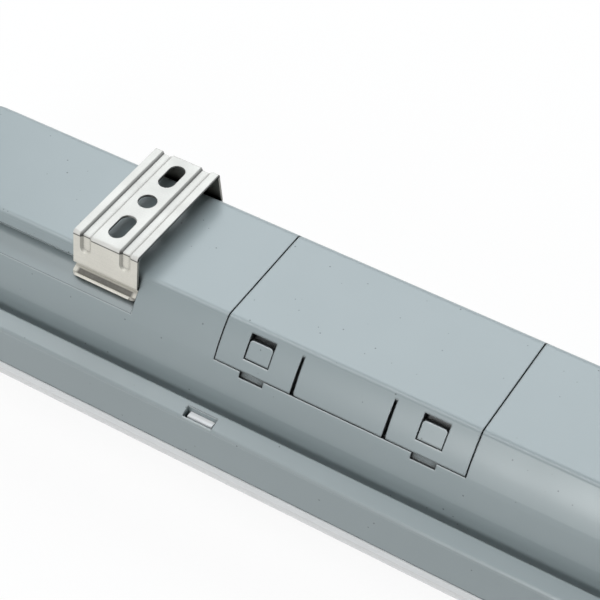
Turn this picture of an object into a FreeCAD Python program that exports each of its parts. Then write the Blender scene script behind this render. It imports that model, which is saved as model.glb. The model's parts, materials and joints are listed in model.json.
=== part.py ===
import FreeCAD, Part
import Sketcher
import math
import os
from types import SimpleNamespace
from FreeCAD import Placement, Rotation, Vector

# A sealed linear ceiling light, millimetres, +Z up.
# X runs along the light and Y across it.
# The origin is midway between the centre holes of the two mounting clips,
# on their top faces, so Z = 0 is the ceiling and the light hangs below it.

sizes = {
    # Overall places
    "fixture_length": 660,
    "stand_off": 10,
    "clip_end_inset": 120,
    "cover_clip_pitch": 97.2,
    "overrun": 3,
    "overlap": 1,
    # Cross-section of the housing
    "top_half": 22.5,
    "path_corner": 12,
    "slope_radius": 55.7,
    "foot_radius": 30.3,
    "crease_angle": 44,
    "cover_edge_angle": 61,
    "foot_angle": 83,
    "wall": 2.5,
    "valley_depth": 35.5,
    "valley_round": 1.5,
    "rim_in_half": 41.2,
    "rim_in_depth": 28.4,
    "rim_width": 7.24,
    "rim_angle": 17.7,
    "rim_round": 1.6,
    "rim_inner_round": 0.6,
    "crease_round": 3,
    "skirt_depth": 48.2,
    "skirt_draft_angle": 1.3,
    "rim_wall": 2.2,
    "hook_channel_width": 2.9,
    "rim_roof_depth": 32.2,
    "seal_channel_width": 3.4,
    "seal_wall_depth": 41,
    # Perimeter seal
    "seal_height": 3,
    "seal_side_clearance": 0.05,
    # Diffuser
    "band_proud": 0.4,
    "band_height": 4.1,
    "band_gap": 0.15,
    "band_round": 1.2,
    "flange_thickness": 2.2,
    "tongue_width": 1.8,
    "lens_shoulder": 2.7,
    "lens_wall": 2,
    "lens_depth": 78,
    "lens_radius": 29,
    "hook_end_inset": 52,
    "hook_pitch_share": 0.572,
    "hook_width": 9.8,
    "hook_side_gap": 0.15,
    "hook_stem": 1.5,
    "hook_barb": 1,
    "hook_barb_height": 2.4,
    "hook_lead": 0.3,
    "hook_top_depth": 31.3,
    "hook_clearance": 0.1,
    "hook_ledge": 0.8,
    "hook_ledge_height": 1.8,
    "rim_window_width": 11.8,
    "rim_window_reach": 3.9,
    # Clip pockets in the slopes
    "ledge_angle": 48.5,
    "pocket_low_angle": 59.2,
    "ledge_lip": 1.2,
    "ledge_slant": 0.6,
    "pocket_in_half": 21.5,
    "pocket_shelf_rise": 4.8,
    "pocket_end_inset": 13.76,
    "pocket_wall": 2.2,
    # Mounting clips
    "clip_width": 27,
    "clip_half": 25.4,
    "clip_sheet": 1,
    "clip_bend": 1.2,
    "clip_end_gap": 0.2,
    "leg_lean_angle": 7,
    "leg_length": 14,
    "throat_angle": 44,
    "throat_length": 2.87,
    "lip_angle": 65,
    "lip_length": 3.5,
    "lip_rim_angle": 50,
    "lip_rim_length": 1.2,
    "lip_corner": 2,
    "hook_bend": 0.4,
    "clip_hole": 7,
    "clip_slot_width": 6.4,
    "clip_slot_length": 12.4,
    "clip_slot_place": 15.1,
    "bead_place": 8.3,
    "bead_width": 2.8,
    "bead_side": 1,
    "bead_depth": 0.8,
    "bead_end_drop": 6,
    "rib_bend": 2.6,
    # Access cover and its seat
    "cover_half": 48.2,
    "cover_thickness": 2.2,
    "cover_gap": 0.3,
    "seam": 0.4,
    "saddle_wall": 2.5,
    "saddle_foot_angle": 64,
    "cover_seal_gap": 0.05,
    "cover_seal_width": 2.6,
    "cover_seal_groove": 1,
    "cover_seal_land": 1.9,
    "access_half_x": 34.2,
    "access_half_y": 13.8,
    "access_round": 3,
    "window_place": 33.2,
    "window_width": 9.8,
    "window_top_angle": 46.7,
    "window_low_angle": 56.4,
    "catch_width": 9.1,
    "catch_top_angle": 49,
    "catch_low_angle": 56.1,
    "catch_depth": 0.3,
    "catch_round": 1.3,
    "bevel_edge_depth": 0.3,
    "bevel_end_angle": 59.9,
    "slit_place": 17.7,
    "slit_top_half_width": 0.45,
    "slit_low_half_width": 0.65,
    "slit_top_angle": 46.5,
    "slit_round": 0.6,
    "relief_depth": 1.5,
    "relief_half_width": 1.6,
    "relief_side": 0.4,
    "notch_width": 9.4,
    "notch_depth": 1.3,
    "notch_length_angle": 2.6,
    "hinge_angle": 60.2,
    "barrel_radius": 1.3,
    "barrel_clearance": 0.4,
    "pivot_radius": 0.7,
    "pivot_length": 1.8,
    "pivot_clearance": 0.05,
    # Cable entry bosses at the two ends
    "entry_half": 14.5,
    "entry_reach": 16.2,
    "entry_top_depth": 4,
    "entry_bottom_depth": 32,
    "entry_wall": 2.5,
    "entry_depth": 17.5,
    "entry_hole": 16.2,
    "thread_clearance": 0.1,
    "gland_across": 19,
    "gland_flange": 5,
    "gland_washer": 1.2,
    "gland_washer_half": 9.4,
    "gland_bore": 9,
    "gland_neck_radius": 7.6,
    "gland_neck_length": 8,
    "gland_nut_gap": 0.4,
    "gland_nut_cap": 1.8,
    "gland_nut_bore": 8.6,
    "lock_nut_thickness": 3.5,
    "thread_tail": 1,
    "seal_bore": 5.5,
    "seal_outer_radius": 5.5,
    "seal_insert_length": 7.6,
    "plug_cap_radius": 10.5,
    "plug_cap_length": 3,
    "plug_slot_width": 2,
    "plug_slot_depth": 1.4,
    "plug_tail": 2.5,
    # Gear tray
    "tray_end_inset": 38,
    "tray_half_width": 34,
    "tray_sheet": 0.8,
    "tray_flange": 6,
    "tray_depth": 42,
    "boss_gap": 15.1,
    "boss_side": 24,
    "boss_radius": 3.6,
    "boss_top_depth": 7,
    "screw_radius": 1.5,
    "screw_hole_clearance": 0.02,
    "screw_pass_radius": 1.9,
    "screw_length": 9,
    "screw_head_radius": 3.3,
    "screw_head_height": 2.2,
    "recess_width": 0.8,
    "recess_length_share": 0.9,
    "recess_depth": 1.1,
    # Light-emitting boards
    "board_inner": 4,
    "board_lead_run": 16,
    "board_half_width": 11,
    "board_thickness": 1.6,
    "package_count": 20,
    "package_length": 3.5,
    "package_width": 2.8,
    "package_height": 0.7,
    "board_screw_side": 8,
    "board_screw_inset": 16,
    "board_screw_radius": 1.2,
    "board_screw_head": 2.4,
    "board_screw_head_height": 1.4,
    "link_half_length": 8,
    "link_width": 5,
    "link_height": 2.8,
    "link_side": 6.5,
    "socket_length": 8,
    "socket_width": 9,
    "socket_height": 3.2,
    # Driver
    "driver_end_gap": 22,
    "driver_length": 140,
    "driver_half_width": 15,
    "driver_height": 22,
    "driver_corner": 1.5,
    "ear_length": 8,
    "ear_half_width": 17,
    "ear_thickness": 2.5,
    "ear_screw_side": 13.6,
    "driver_port_height": 11,
    # Terminal block on its bracket
    "bracket_half_length": 16,
    "bracket_half_width": 15,
    "bracket_top_depth": 24,
    "bracket_sheet": 1,
    "bracket_foot": 7,
    "rivet_radius": 1.6,
    "rivet_head_radius": 2.8,
    "rivet_head_height": 1,
    "block_half_length": 17,
    "block_half_width": 11,
    "block_height": 13,
    "block_corner": 1,
    "pole_pitch": 6.5,
    "button_length": 5,
    "button_width": 4,
    "button_place": 3,
    "button_proud": 1.6,
    "button_depth": 4,
    "button_travel": 1.2,
    "button_end_gap": 0.1,
    "button_clearance": 0.08,
    "port_radius": 1.5,
    "port_depth": 8,
    "port_height": 5.5,
    "contact_length": 20,
    "contact_lift": 0.8,
    "contact_width": 2,
    "contact_height": 2.2,
    "block_screw_place": 11.5,
    "block_screw_side": 4,
    "block_screw_seat": 4,
    "block_screw_tail": 1.5,
    "block_screw_radius": 1.2,
    "block_screw_head": 2.4,
    "block_screw_head_height": 1.8,
    # Leads
    "lead_radius": 1.1,
    "lead_reach_share": 0.45,
    "lead_run": 10,
    "lead_slope_run": 24,
    "lead_rise_run": 16,
    "thin_lead_radius": 0.8,
    "thin_lead_reach_share": 0.26,
    "thin_lead_side": 2.2,
    "outlet_side": 6.5,
    "grommet_hole": 4.2,
    "grommet_bore": 3.2,
    "grommet_lip": 1,
    "grommet_lip_height": 0.9,
    "outlet_gap": 0.8,
    "earth_side": 18,
    "earth_mid_side": 12,
    "earth_step": 11,
    "earth_last_run": 9,
    "earth_lug_radius": 3.2,
    "earth_lug_thickness": 0.8,
    "earth_barrel_length": 5,
    "earth_barrel_width": 2.6,
    "earth_screw_radius": 1.5,
}

doc = FreeCAD.newDocument("LinearLight")
sheet = doc.addObject("Spreadsheet::Sheet", "Sizes")
for row, (alias, number) in enumerate(sizes.items(), start=1):
    sheet.set("A%d" % row, alias)
    sheet.set("B%d" % row, str(number))
    sheet.setAlias("B%d" % row, alias)
doc.recompute()


# A size carries its number and the sheet formula that gives it.
class Size:
    def __init__(self, value, text):
        self.value = value
        self.text = text

    def __add__(self, other):
        other = as_size(other)
        return Size(self.value + other.value, "(%s + %s)" % (self.text, other.text))

    def __sub__(self, other):
        other = as_size(other)
        return Size(self.value - other.value, "(%s - %s)" % (self.text, other.text))

    def __mul__(self, other):
        other = as_size(other)
        return Size(self.value * other.value, "(%s * %s)" % (self.text, other.text))

    def __truediv__(self, other):
        other = as_size(other)
        return Size(self.value / other.value, "(%s / %s)" % (self.text, other.text))

    def __radd__(self, other):
        return as_size(other) + self

    def __rmul__(self, other):
        return as_size(other) * self

    def __neg__(self):
        return Size(-self.value, "(0 - %s)" % self.text)


def as_size(number):
    if isinstance(number, Size):
        return number
    return Size(float(number), repr(float(number)))


def sine(angle):
    return Size(math.sin(math.radians(angle.value)), "sin(%s)" % angle.text)


def cosine(angle):
    return Size(math.cos(math.radians(angle.value)), "cos(%s)" % angle.text)


def tangent(angle):
    return Size(math.tan(math.radians(angle.value)), "tan(%s)" % angle.text)


def root(size):
    return Size(math.sqrt(size.value), "sqrt(%s)" % size.text)


def named(alias):
    return Size(float(sheet.get(alias)), "Sizes.%s" % alias)


s = SimpleNamespace(**{alias: named(alias) for alias in sizes})
back = -s.stand_off
right_angle = as_size(90)
level = as_size(0)


def bind(thing, prop, size):
    thing.setExpression(prop, as_size(size).text)


# Sketches, pads and cuts

class Bend:
    def __init__(self, radius, turn):
        self.radius = radius
        self.turn = turn


def left(radius):
    return Bend(radius, 1)


def right(radius):
    return Bend(radius, -1)


def origin_plane(body, role):
    return next(f for f in body.Origin.OriginFeatures if f.Role == role)


def new_body(name):
    body = doc.addObject("PartDesign::Body", name)
    body.Label = name
    return body


def new_sketch(body, name, role, offset=None):
    sketch = body.newObject("Sketcher::SketchObject", name)
    sketch.AttachmentSupport = [(origin_plane(body, role), "")]
    sketch.MapMode = "FlatFace"
    if offset is not None:
        bind(sketch, ".AttachmentOffset.Base.z", offset)
    return sketch


def arc_between(start, end, bend):
    a = Vector(start[0].value, start[1].value, 0)
    b = Vector(end[0].value, end[1].value, 0)
    chord = b - a
    radius = bend.radius.value
    rise = math.sqrt(max(radius ** 2 - (chord.Length / 2) ** 2, 0))
    side = Vector(-chord.y, chord.x, 0).normalize() * bend.turn
    centre = (a + b) / 2 + side * rise
    circle = Part.Circle(centre, Vector(0, 0, 1), radius)
    first, last = (a, b) if bend.turn > 0 else (b, a)
    first_angle = math.atan2(first.y - centre.y, first.x - centre.x)
    last_angle = math.atan2(last.y - centre.y, last.x - centre.x)
    if last_angle < first_angle:
        last_angle += 2 * math.pi
    return Part.ArcOfCircle(circle, first_angle, last_angle)


def pin_point(sketch, geometry, position, point):
    for axis, kind, size in ((-2, "DistanceX", point[0]), (-1, "DistanceY", point[1])):
        if abs(size.value) < 1e-9:
            sketch.addConstraint(Sketcher.Constraint("PointOnObject", geometry, position, axis))
        else:
            index = sketch.addConstraint(
                Sketcher.Constraint(kind, -1, 1, geometry, position, size.value))
            bind(sketch, "Constraints[%d]" % index, size)


# Draws an outline: points, with a Bend between two points that an arc joins.
def draw(sketch, items, closed=True):
    points = [(as_size(p[0]), as_size(p[1])) for p in items if not isinstance(p, Bend)]
    bends = []
    for position, item in enumerate(items):
        if not isinstance(item, Bend):
            following = items[(position + 1) % len(items)]
            bends.append(following if isinstance(following, Bend) else None)
    ends = []
    for index, point in enumerate(points):
        if not closed and index + 1 == len(points):
            break
        target = points[(index + 1) % len(points)]
        if bends[index] is None:
            a = Vector(point[0].value, point[1].value, 0)
            b = Vector(target[0].value, target[1].value, 0)
            geometry = sketch.addGeometry(Part.LineSegment(a, b))
            ends.append((geometry, 1, 2))
        else:
            geometry = sketch.addGeometry(arc_between(point, target, bends[index]))
            ends.append((geometry, 1, 2) if bends[index].turn > 0 else (geometry, 2, 1))
            radius = bends[index].radius
            radius_index = sketch.addConstraint(
                Sketcher.Constraint("Radius", geometry, radius.value))
            bind(sketch, "Constraints[%d]" % radius_index, radius)
    for index, (geometry, first, last) in enumerate(ends):
        pin_point(sketch, geometry, first, points[index])
        if closed or index + 1 < len(ends):
            following = ends[(index + 1) % len(ends)]
            sketch.addConstraint(
                Sketcher.Constraint("Coincident", geometry, last, following[0], following[1]))
        else:
            pin_point(sketch, geometry, last, points[-1])


def draw_circle(sketch, centre, radius):
    centre = (as_size(centre[0]), as_size(centre[1]))
    middle = Vector(centre[0].value, centre[1].value, 0)
    geometry = sketch.addGeometry(Part.Circle(middle, Vector(0, 0, 1), radius.value))
    index = sketch.addConstraint(Sketcher.Constraint("Radius", geometry, radius.value))
    bind(sketch, "Constraints[%d]" % index, radius)
    pin_point(sketch, geometry, 3, centre)


cuts = []


class Round:
    def __init__(self, centre, radius):
        self.centre = centre
        self.radius = radius


# Extrudes outlines and circles along the plane's own normal, from `start` over `length`.
def extrude(kind, body, name, role, start, length, shapes):
    sketch = new_sketch(body, name + "_sketch", role, start)
    for shape in shapes:
        if isinstance(shape, Round):
            draw_circle(sketch, shape.centre, shape.radius)
        else:
            draw(sketch, shape)
    feature = body.newObject("PartDesign::" + kind, name)
    feature.Profile = sketch
    feature.Refine = False
    if kind == "Pocket":
        feature.Reversed = True
        cuts.append(feature)
    bind(feature, "Length", length)
    body.Tip = feature
    return feature


def pad(body, name, role, start, length, *shapes):
    return extrude("Pad", body, name, role, start, length, shapes)


def pocket(body, name, role, start, length, *shapes):
    return extrude("Pocket", body, name, role, start, length, shapes)


def spine(body, name, half_length, half_width, corner):
    sketch = new_sketch(body, name, "XY_Plane")
    straight_x = half_length - corner
    straight_y = half_width - corner
    draw(sketch, [
        (level, half_width), (straight_x, half_width), right(corner),
        (half_length, straight_y), (half_length, -straight_y), right(corner),
        (straight_x, -half_width), (-straight_x, -half_width), right(corner),
        (-half_length, -straight_y), (-half_length, straight_y), right(corner),
        (-straight_x, half_width),
    ])
    return sketch


def sweep_round(body, name, items):
    path = spine(body, name + "_path", path_half, s.top_half, s.path_corner)
    section = new_sketch(body, name + "_section", "YZ_Plane")
    draw(section, items)
    pipe = body.newObject("PartDesign::AdditivePipe", name)
    pipe.Profile = section
    pipe.Spine = (path, [])
    pipe.Refine = False
    body.Tip = pipe
    return pipe


def block(x0, y0, x1, y1):
    return [(x0, y0), (x1, y0), (x1, y1), (x0, y1)]


def rounded_block(x0, y0, x1, y1, corner):
    return [
        (x0 + corner, y0), (x1 - corner, y0), left(corner),
        (x1, y0 + corner), (x1, y1 - corner), left(corner),
        (x1 - corner, y1), (x0 + corner, y1), left(corner),
        (x0, y1 - corner), (x0, y0 + corner), left(corner),
    ]


# Rounds the corner between a run at angle `before` and one at angle `after`.
def rounded(corner, before, after, radius):
    turn = after - before
    half_turn = turn / 2
    bend = left(radius) if turn.value > 0 else right(radius)
    reach = radius * tangent(half_turn if turn.value > 0 else -half_turn)
    start = (corner[0] - reach * cosine(before), corner[1] - reach * sine(before))
    end = (corner[0] + reach * cosine(after), corner[1] + reach * sine(after))
    return [start, bend, end]


# Part primitives

def place(thing, x, y, z):
    bind(thing, "Placement.Base.x", x)
    bind(thing, "Placement.Base.y", y)
    bind(thing, "Placement.Base.z", z)


def box(name, corner, lengths):
    thing = doc.addObject("Part::Box", name)
    for prop, size in zip(("Length", "Width", "Height"), lengths):
        bind(thing, prop, size)
    place(thing, *corner)
    return thing


turns = {
    "x": Rotation(Vector(0, 1, 0), 90),
    "y": Rotation(Vector(1, 0, 0), -90),
    "z": Rotation(),
}


def cylinder(name, foot, radius, height, axis="z"):
    thing = doc.addObject("Part::Cylinder", name)
    thing.Placement = Placement(Vector(), turns[axis])
    bind(thing, "Radius", radius)
    bind(thing, "Height", height)
    place(thing, *foot)
    return thing


# A hexagonal prism along X whose lowest side is flat.
def hexagon(name, foot, across, height):
    thing = doc.addObject("Part::Prism", name)
    thing.Polygon = 6
    half_side = right_angle / 3
    lying = Rotation(Vector(0, 1, 0), 90)
    upright = Rotation(Vector(0, 0, 1), half_side.value)
    thing.Placement = Placement(Vector(), lying.multiply(upright))
    bind(thing, "Circumradius", across / 2 / cosine(half_side))
    bind(thing, "Height", height)
    place(thing, *foot)
    return thing


def fuse(name, shapes):
    thing = doc.addObject("Part::MultiFuse", name)
    thing.Shapes = shapes
    return thing


def cut(name, base, tool):
    thing = doc.addObject("Part::Cut", name)
    thing.Base = base
    thing.Tool = tool
    return thing


def group(name, shapes):
    thing = doc.addObject("Part::Compound", name)
    thing.Links = shapes
    return thing


nodes = []


def finish(name, thing):
    thing.Label = name
    nodes.append((name, thing))
    return thing


# Points of the shared cross-section. Depths run down from the housing's flat back.

path_half = s.fixture_length / 2 - (s.rim_in_half - s.top_half) - s.rim_width - s.band_proud
slope_y = s.top_half - s.slope_radius * sine(s.crease_angle)
slope_z = back - s.slope_radius * cosine(s.crease_angle)
foot_y = slope_y + (s.slope_radius - s.foot_radius) * sine(s.cover_edge_angle)
foot_z = slope_z + (s.slope_radius - s.foot_radius) * cosine(s.cover_edge_angle)


def on_slope(angle, depth=level, side=1):
    reach = s.slope_radius - depth
    return (side * (slope_y + reach * sine(angle)), slope_z + reach * cosine(angle))


def on_foot(angle, depth=level, side=1):
    reach = s.foot_radius - depth
    return (side * (foot_y + reach * sine(angle)), foot_z + reach * cosine(angle))


# The crease between back and slope is rounded about one centre at every depth
# that the round reaches, and sharp below it.
crease_round_z = back - s.crease_round
crease_rise = crease_round_z - slope_z
crease_reach = s.slope_radius - s.crease_round
crease_run = root(crease_reach * crease_reach - crease_rise * crease_rise)
crease_round_y = slope_y + crease_run


def crease(depth, side=1):
    if depth.value >= s.crease_round.value:
        return [(side * (s.top_half - depth * tangent(s.crease_angle / 2)), back - depth)]
    share = (s.slope_radius - depth) / crease_reach
    on_side = (side * (slope_y + crease_run * share), slope_z + crease_rise * share)
    on_back = (side * crease_round_y, back - depth)
    if side > 0:
        return [on_back, right(s.crease_round - depth), on_side]
    return [on_side, right(s.crease_round - depth), on_back]


def from_right(points):
    return [Bend(item.radius, -item.turn) if isinstance(item, Bend) else item
            for item in reversed(points)]


# Below the foot arc the side runs straight.
def down_side(z, depth=level):
    start = on_foot(s.foot_angle, depth)
    lean = cosine(s.foot_angle) / sine(s.foot_angle)
    return (start[0] + (start[1] - z) * lean, z)


# The back's skin from one cover edge to the other, as a band between two depths.
def skin_band(top_depth, low_depth, near_angle, far_angle):
    return [
        on_slope(near_angle, top_depth, -1), right(s.slope_radius - top_depth),
        *crease(top_depth, -1), *crease(top_depth), right(s.slope_radius - top_depth),
        on_slope(far_angle, top_depth),
        on_slope(far_angle, low_depth), left(s.slope_radius - low_depth),
        *from_right(crease(low_depth)), *from_right(crease(low_depth, -1)),
        left(s.slope_radius - low_depth),
        on_slope(near_angle, low_depth, -1),
    ]


# Housing

housing = new_body("housing")
valley_z = back - s.valley_depth
rim_in_z = back - s.rim_in_depth
skirt_z = back - s.skirt_depth
rim_edge = (
    s.rim_in_half + s.rim_width * cosine(s.rim_angle),
    rim_in_z - s.rim_width * sine(s.rim_angle),
)
skirt_foot = (rim_edge[0] + (rim_edge[1] - skirt_z) * tangent(s.skirt_draft_angle), skirt_z)
channel_in = s.rim_in_half + s.rim_wall
channel_out = channel_in + s.hook_channel_width
roof_z = back - s.rim_roof_depth
seal_roof_z = valley_z - s.rim_wall
seal_wall_z = back - s.seal_wall_depth
seal_in = s.rim_in_half - s.seal_channel_width
slope_fall = -s.foot_angle

wall_section = [
    (s.top_half - s.path_corner / 4, back),
    *crease(level),
    right(s.slope_radius),
    on_slope(s.cover_edge_angle),
    right(s.foot_radius),
    on_foot(s.foot_angle),
    *rounded(down_side(valley_z), slope_fall, level, s.valley_round),
    *rounded((s.rim_in_half, valley_z), level, right_angle, s.valley_round),
    *rounded((s.rim_in_half, rim_in_z), right_angle, -s.rim_angle, s.rim_inner_round),
    *rounded(rim_edge, -s.rim_angle, s.skirt_draft_angle - right_angle, s.rim_round),
    skirt_foot,
    (channel_out, skirt_z),
    (channel_out, roof_z),
    (channel_in, roof_z),
    (channel_in, seal_wall_z),
    (s.rim_in_half, seal_wall_z),
    (s.rim_in_half, seal_roof_z),
    (seal_in, seal_roof_z),
    (seal_in, seal_wall_z),
    down_side(seal_wall_z, s.wall),
    on_foot(s.foot_angle, s.wall),
    left(s.foot_radius - s.wall),
    on_slope(s.cover_edge_angle, s.wall),
    left(s.slope_radius - s.wall),
    *from_right(crease(s.wall)),
    (s.top_half - s.path_corner / 4, back - s.wall),
]
sweep_round(housing, "side_walls", wall_section)
plate_x = path_half - s.path_corner / 8
plate_y = s.top_half - s.path_corner / 8
pad(housing, "back_plate", "XY_Plane", back - s.wall, s.wall,
    rounded_block(-plate_x, -plate_y, plate_x, plate_y, s.path_corner))

# Undercut pockets for the clips' hooks, one on each side at each clip
clip_place = s.fixture_length / 2 - s.clip_end_inset
pocket_start = clip_place - s.clip_width / 2 - s.clip_end_gap
pocket_length = path_half - s.pocket_end_inset - pocket_start
ledge = on_slope(s.ledge_angle)
shelf_edge = on_slope(s.pocket_low_angle)
ledge_z = ledge[1] - s.ledge_lip
shelf_z = shelf_edge[1] + s.pocket_shelf_rise
pocket_back = s.pocket_in_half - s.pocket_wall


def sided(points, side):
    mirrored = []
    for item in points:
        if isinstance(item, Bend):
            mirrored.append(Bend(item.radius, item.turn * side))
        else:
            mirrored.append((side * item[0], item[1]))
    return mirrored


def both_sides(points):
    return sided(points, -1), sided(points, 1)


pocket_liner = [
    (pocket_back, back - s.wall / 2),
    (pocket_back, shelf_z - s.pocket_wall),
    (shelf_edge[0] - s.pocket_wall / 2, shelf_edge[1] - s.pocket_wall),
    on_slope(s.pocket_low_angle, s.wall / 2),
    crease(s.wall / 2)[-1],
]
pocket_hollow = [
    on_slope(s.ledge_angle, -s.overrun),
    ledge,
    (ledge[0] - s.ledge_slant, ledge_z),
    (s.pocket_in_half, ledge_z),
    (s.pocket_in_half, shelf_z),
    shelf_edge,
    on_slope(s.pocket_low_angle, -s.overrun),
]
pocket_starts = {
    "left": -pocket_start - pocket_length,
    "right": pocket_start,
}
for end, start in pocket_starts.items():
    pad(housing, "pocket_liner_" + end, "YZ_Plane", start - s.pocket_wall,
        pocket_length + 2 * s.pocket_wall, *both_sides(pocket_liner))
    pocket(housing, "clip_pocket_" + end, "YZ_Plane", start, pocket_length,
           *both_sides(pocket_hollow))

# Seat under the access cover
cover_x = s.cover_clip_pitch - clip_place
seat_depth = s.cover_thickness + s.cover_gap
seat_half = s.cover_half + s.seam
seat_wall_half = seat_half + s.saddle_wall
gap_turn = s.cover_gap / s.slope_radius * (180 / math.pi)
seat_edge_angle = s.cover_edge_angle + gap_turn
pad(housing, "seat_wall", "YZ_Plane", cover_x - seat_wall_half, 2 * seat_wall_half,
    skin_band(s.wall / 2, seat_depth + s.saddle_wall, s.saddle_foot_angle, s.saddle_foot_angle))
pocket(housing, "seat", "YZ_Plane", cover_x - seat_half, 2 * seat_half,
       skin_band(-s.overrun, seat_depth, seat_edge_angle, seat_edge_angle))
pocket(housing, "access_opening", "XY_Plane", back - seat_depth - s.saddle_wall - s.overrun,
       s.saddle_wall + 2 * s.overrun,
       rounded_block(cover_x - s.access_half_x, -s.access_half_y,
                     cover_x + s.access_half_x, s.access_half_y, s.access_round))

# Groove for the cover's seal
seal_in_x = s.access_half_x + s.cover_seal_land
seal_in_y = s.access_half_y + s.cover_seal_land
seal_out_x = seal_in_x + s.cover_seal_width
seal_out_y = seal_in_y + s.cover_seal_width
seal_foot = back - seat_depth - s.cover_seal_groove
seal_corner = s.access_round + s.cover_seal_land


def seal_ring(clearance):
    outer = rounded_block(cover_x - seal_out_x + clearance, -seal_out_y + clearance,
                          cover_x + seal_out_x - clearance, seal_out_y - clearance,
                          seal_corner + s.cover_seal_width)
    inner = rounded_block(cover_x - seal_in_x - clearance, -seal_in_y - clearance,
                          cover_x + seal_in_x + clearance, seal_in_y + clearance,
                          seal_corner)
    return outer, inner


pocket(housing, "seal_groove", "XY_Plane", seal_foot, s.cover_seal_groove + s.overrun,
       *seal_ring(level))

# Catches that stand in the cover's windows, with a pry notch below each.
# They are drawn square to the slope at their own middle.
catch_angle = (s.catch_top_angle + s.catch_low_angle) / 2
catch_root = s.slope_radius - seat_depth - s.overlap
catch_reach = (s.slope_radius - s.catch_depth) * sine((s.catch_low_angle - s.catch_top_angle) / 2)
catch_outlines = []
for side in (-1, 1):
    middle = cover_x + side * s.window_place
    first = middle - s.catch_width / 2
    last = middle + s.catch_width / 2
    catch_outlines.append([
        (first, -catch_reach), (last, -catch_reach),
        *rounded((last, catch_reach), right_angle, 2 * right_angle, s.catch_round),
        *rounded((first, catch_reach), 2 * right_angle, 3 * right_angle, s.catch_round),
    ])
catches = pad(housing, "catches", "XY_Plane", level,
              s.slope_radius - s.catch_depth - catch_root, *catch_outlines)
catch_sketch = catches.Profile[0]
catch_sketch.AttachmentOffset = Placement(Vector(), Rotation(Vector(1, 0, 0), catch_angle.value))
bind(catch_sketch, ".AttachmentOffset.Rotation.Angle", catch_angle)
bind(catch_sketch, ".AttachmentOffset.Base.y", -slope_y - catch_root * sine(catch_angle))
bind(catch_sketch, ".AttachmentOffset.Base.z", slope_z + catch_root * cosine(catch_angle))


# Lets the seat in between two angles of the near slope
def relief(name, middle, half_width, top_angle, low_angle):
    pocket(housing, name, "YZ_Plane", middle - half_width, 2 * half_width, [
        on_slope(top_angle, seat_depth - s.overlap, -1),
        on_slope(top_angle, seat_depth + s.relief_depth, -1),
        left(s.slope_radius - seat_depth - s.relief_depth),
        on_slope(low_angle, seat_depth + s.relief_depth, -1),
        on_slope(low_angle, seat_depth - s.overlap, -1),
        right(s.slope_radius - seat_depth + s.overlap),
    ])


notch = [
    on_slope(s.cover_edge_angle, -s.overrun, -1),
    on_slope(s.cover_edge_angle, s.notch_depth, -1),
    on_slope(s.cover_edge_angle + s.notch_length_angle, s.notch_depth, -1),
    on_slope(s.cover_edge_angle + s.notch_length_angle, -s.overrun, -1),
]
for name, side in (("left", -1), ("right", 1)):
    middle = cover_x + side * s.window_place
    pocket(housing, "notch_" + name, "YZ_Plane", middle - s.notch_width / 2, s.notch_width, notch)
    relief("window_relief_" + name, middle, s.window_width / 2 + s.relief_side,
           s.window_top_angle - gap_turn, s.catch_top_angle)
    relief("slit_relief_" + name, cover_x + side * s.slit_place, s.relief_half_width,
           s.slit_top_angle - gap_turn, s.hinge_angle)

# Scoop and sockets for the cover's pivot along its far edge
hinge = on_slope(s.hinge_angle, s.barrel_radius)
scoop_radius = s.barrel_radius + s.barrel_clearance
socket_depth = s.seam + s.pivot_length + s.pivot_clearance
pocket(housing, "pivot_scoop", "YZ_Plane", cover_x - seat_half, 2 * seat_half,
       Round(hinge, scoop_radius))
pocket(housing, "pivot_sockets", "YZ_Plane", cover_x - s.cover_half - socket_depth,
       2 * (s.cover_half + socket_depth), Round(hinge, s.pivot_radius + s.pivot_clearance))

# Ledges in the skirt that the diffuser's hooks hold, and the rim windows above them
hook_end_place = s.fixture_length / 2 - s.hook_end_inset
hook_pitch = s.hook_pitch_share * hook_end_place
hook_places = [-hook_end_place, -hook_pitch, level, hook_pitch, hook_end_place]
hook_top = back - s.hook_top_depth
barb_low = hook_top - s.hook_barb_height
ledge_top = barb_low - s.hook_clearance


def rectangles(places, half_width, inner, outer):
    outlines = []
    for middle in places:
        for side in (-1, 1):
            outlines.append(block(middle - half_width, side * inner,
                                  middle + half_width, side * outer))
    return outlines


pad(housing, "hook_ledges", "XY_Plane", ledge_top - s.hook_ledge_height, s.hook_ledge_height,
    *rectangles(hook_places, s.hook_width / 2, channel_out - s.hook_ledge,
                channel_out + s.overlap))
pocket(housing, "rim_windows", "XY_Plane", roof_z - s.overlap, s.rim_roof_depth,
       *rectangles(hook_places, s.rim_window_width / 2, channel_in,
                   channel_in + s.rim_window_reach))

# Flat-faced cable entries at the ends
entry_face = path_half + s.entry_reach
entry_z = back - s.entry_depth
entry_top = back - s.entry_top_depth
entry_low = back - s.entry_bottom_depth
entry_in = entry_face - s.entry_reach / 2
hollow_in = path_half - s.path_corner / 2
hollow_half = s.entry_half - s.entry_wall
pad(housing, "entries", "XY_Plane", entry_low, entry_top - entry_low,
    block(-entry_face, -s.entry_half, -entry_in, s.entry_half),
    block(entry_in, -s.entry_half, entry_face, s.entry_half))
pocket(housing, "entry_hollows", "XY_Plane", entry_low + s.entry_wall,
       entry_top - entry_low - 2 * s.entry_wall,
       block(-entry_face + s.entry_wall, -hollow_half, -hollow_in, hollow_half),
       block(hollow_in, -hollow_half, entry_face - s.entry_wall, hollow_half))
pocket(housing, "entry_holes", "YZ_Plane", -entry_face - s.overrun,
       2 * (entry_face + s.overrun), Round((level, entry_z), s.entry_hole / 2))

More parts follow.
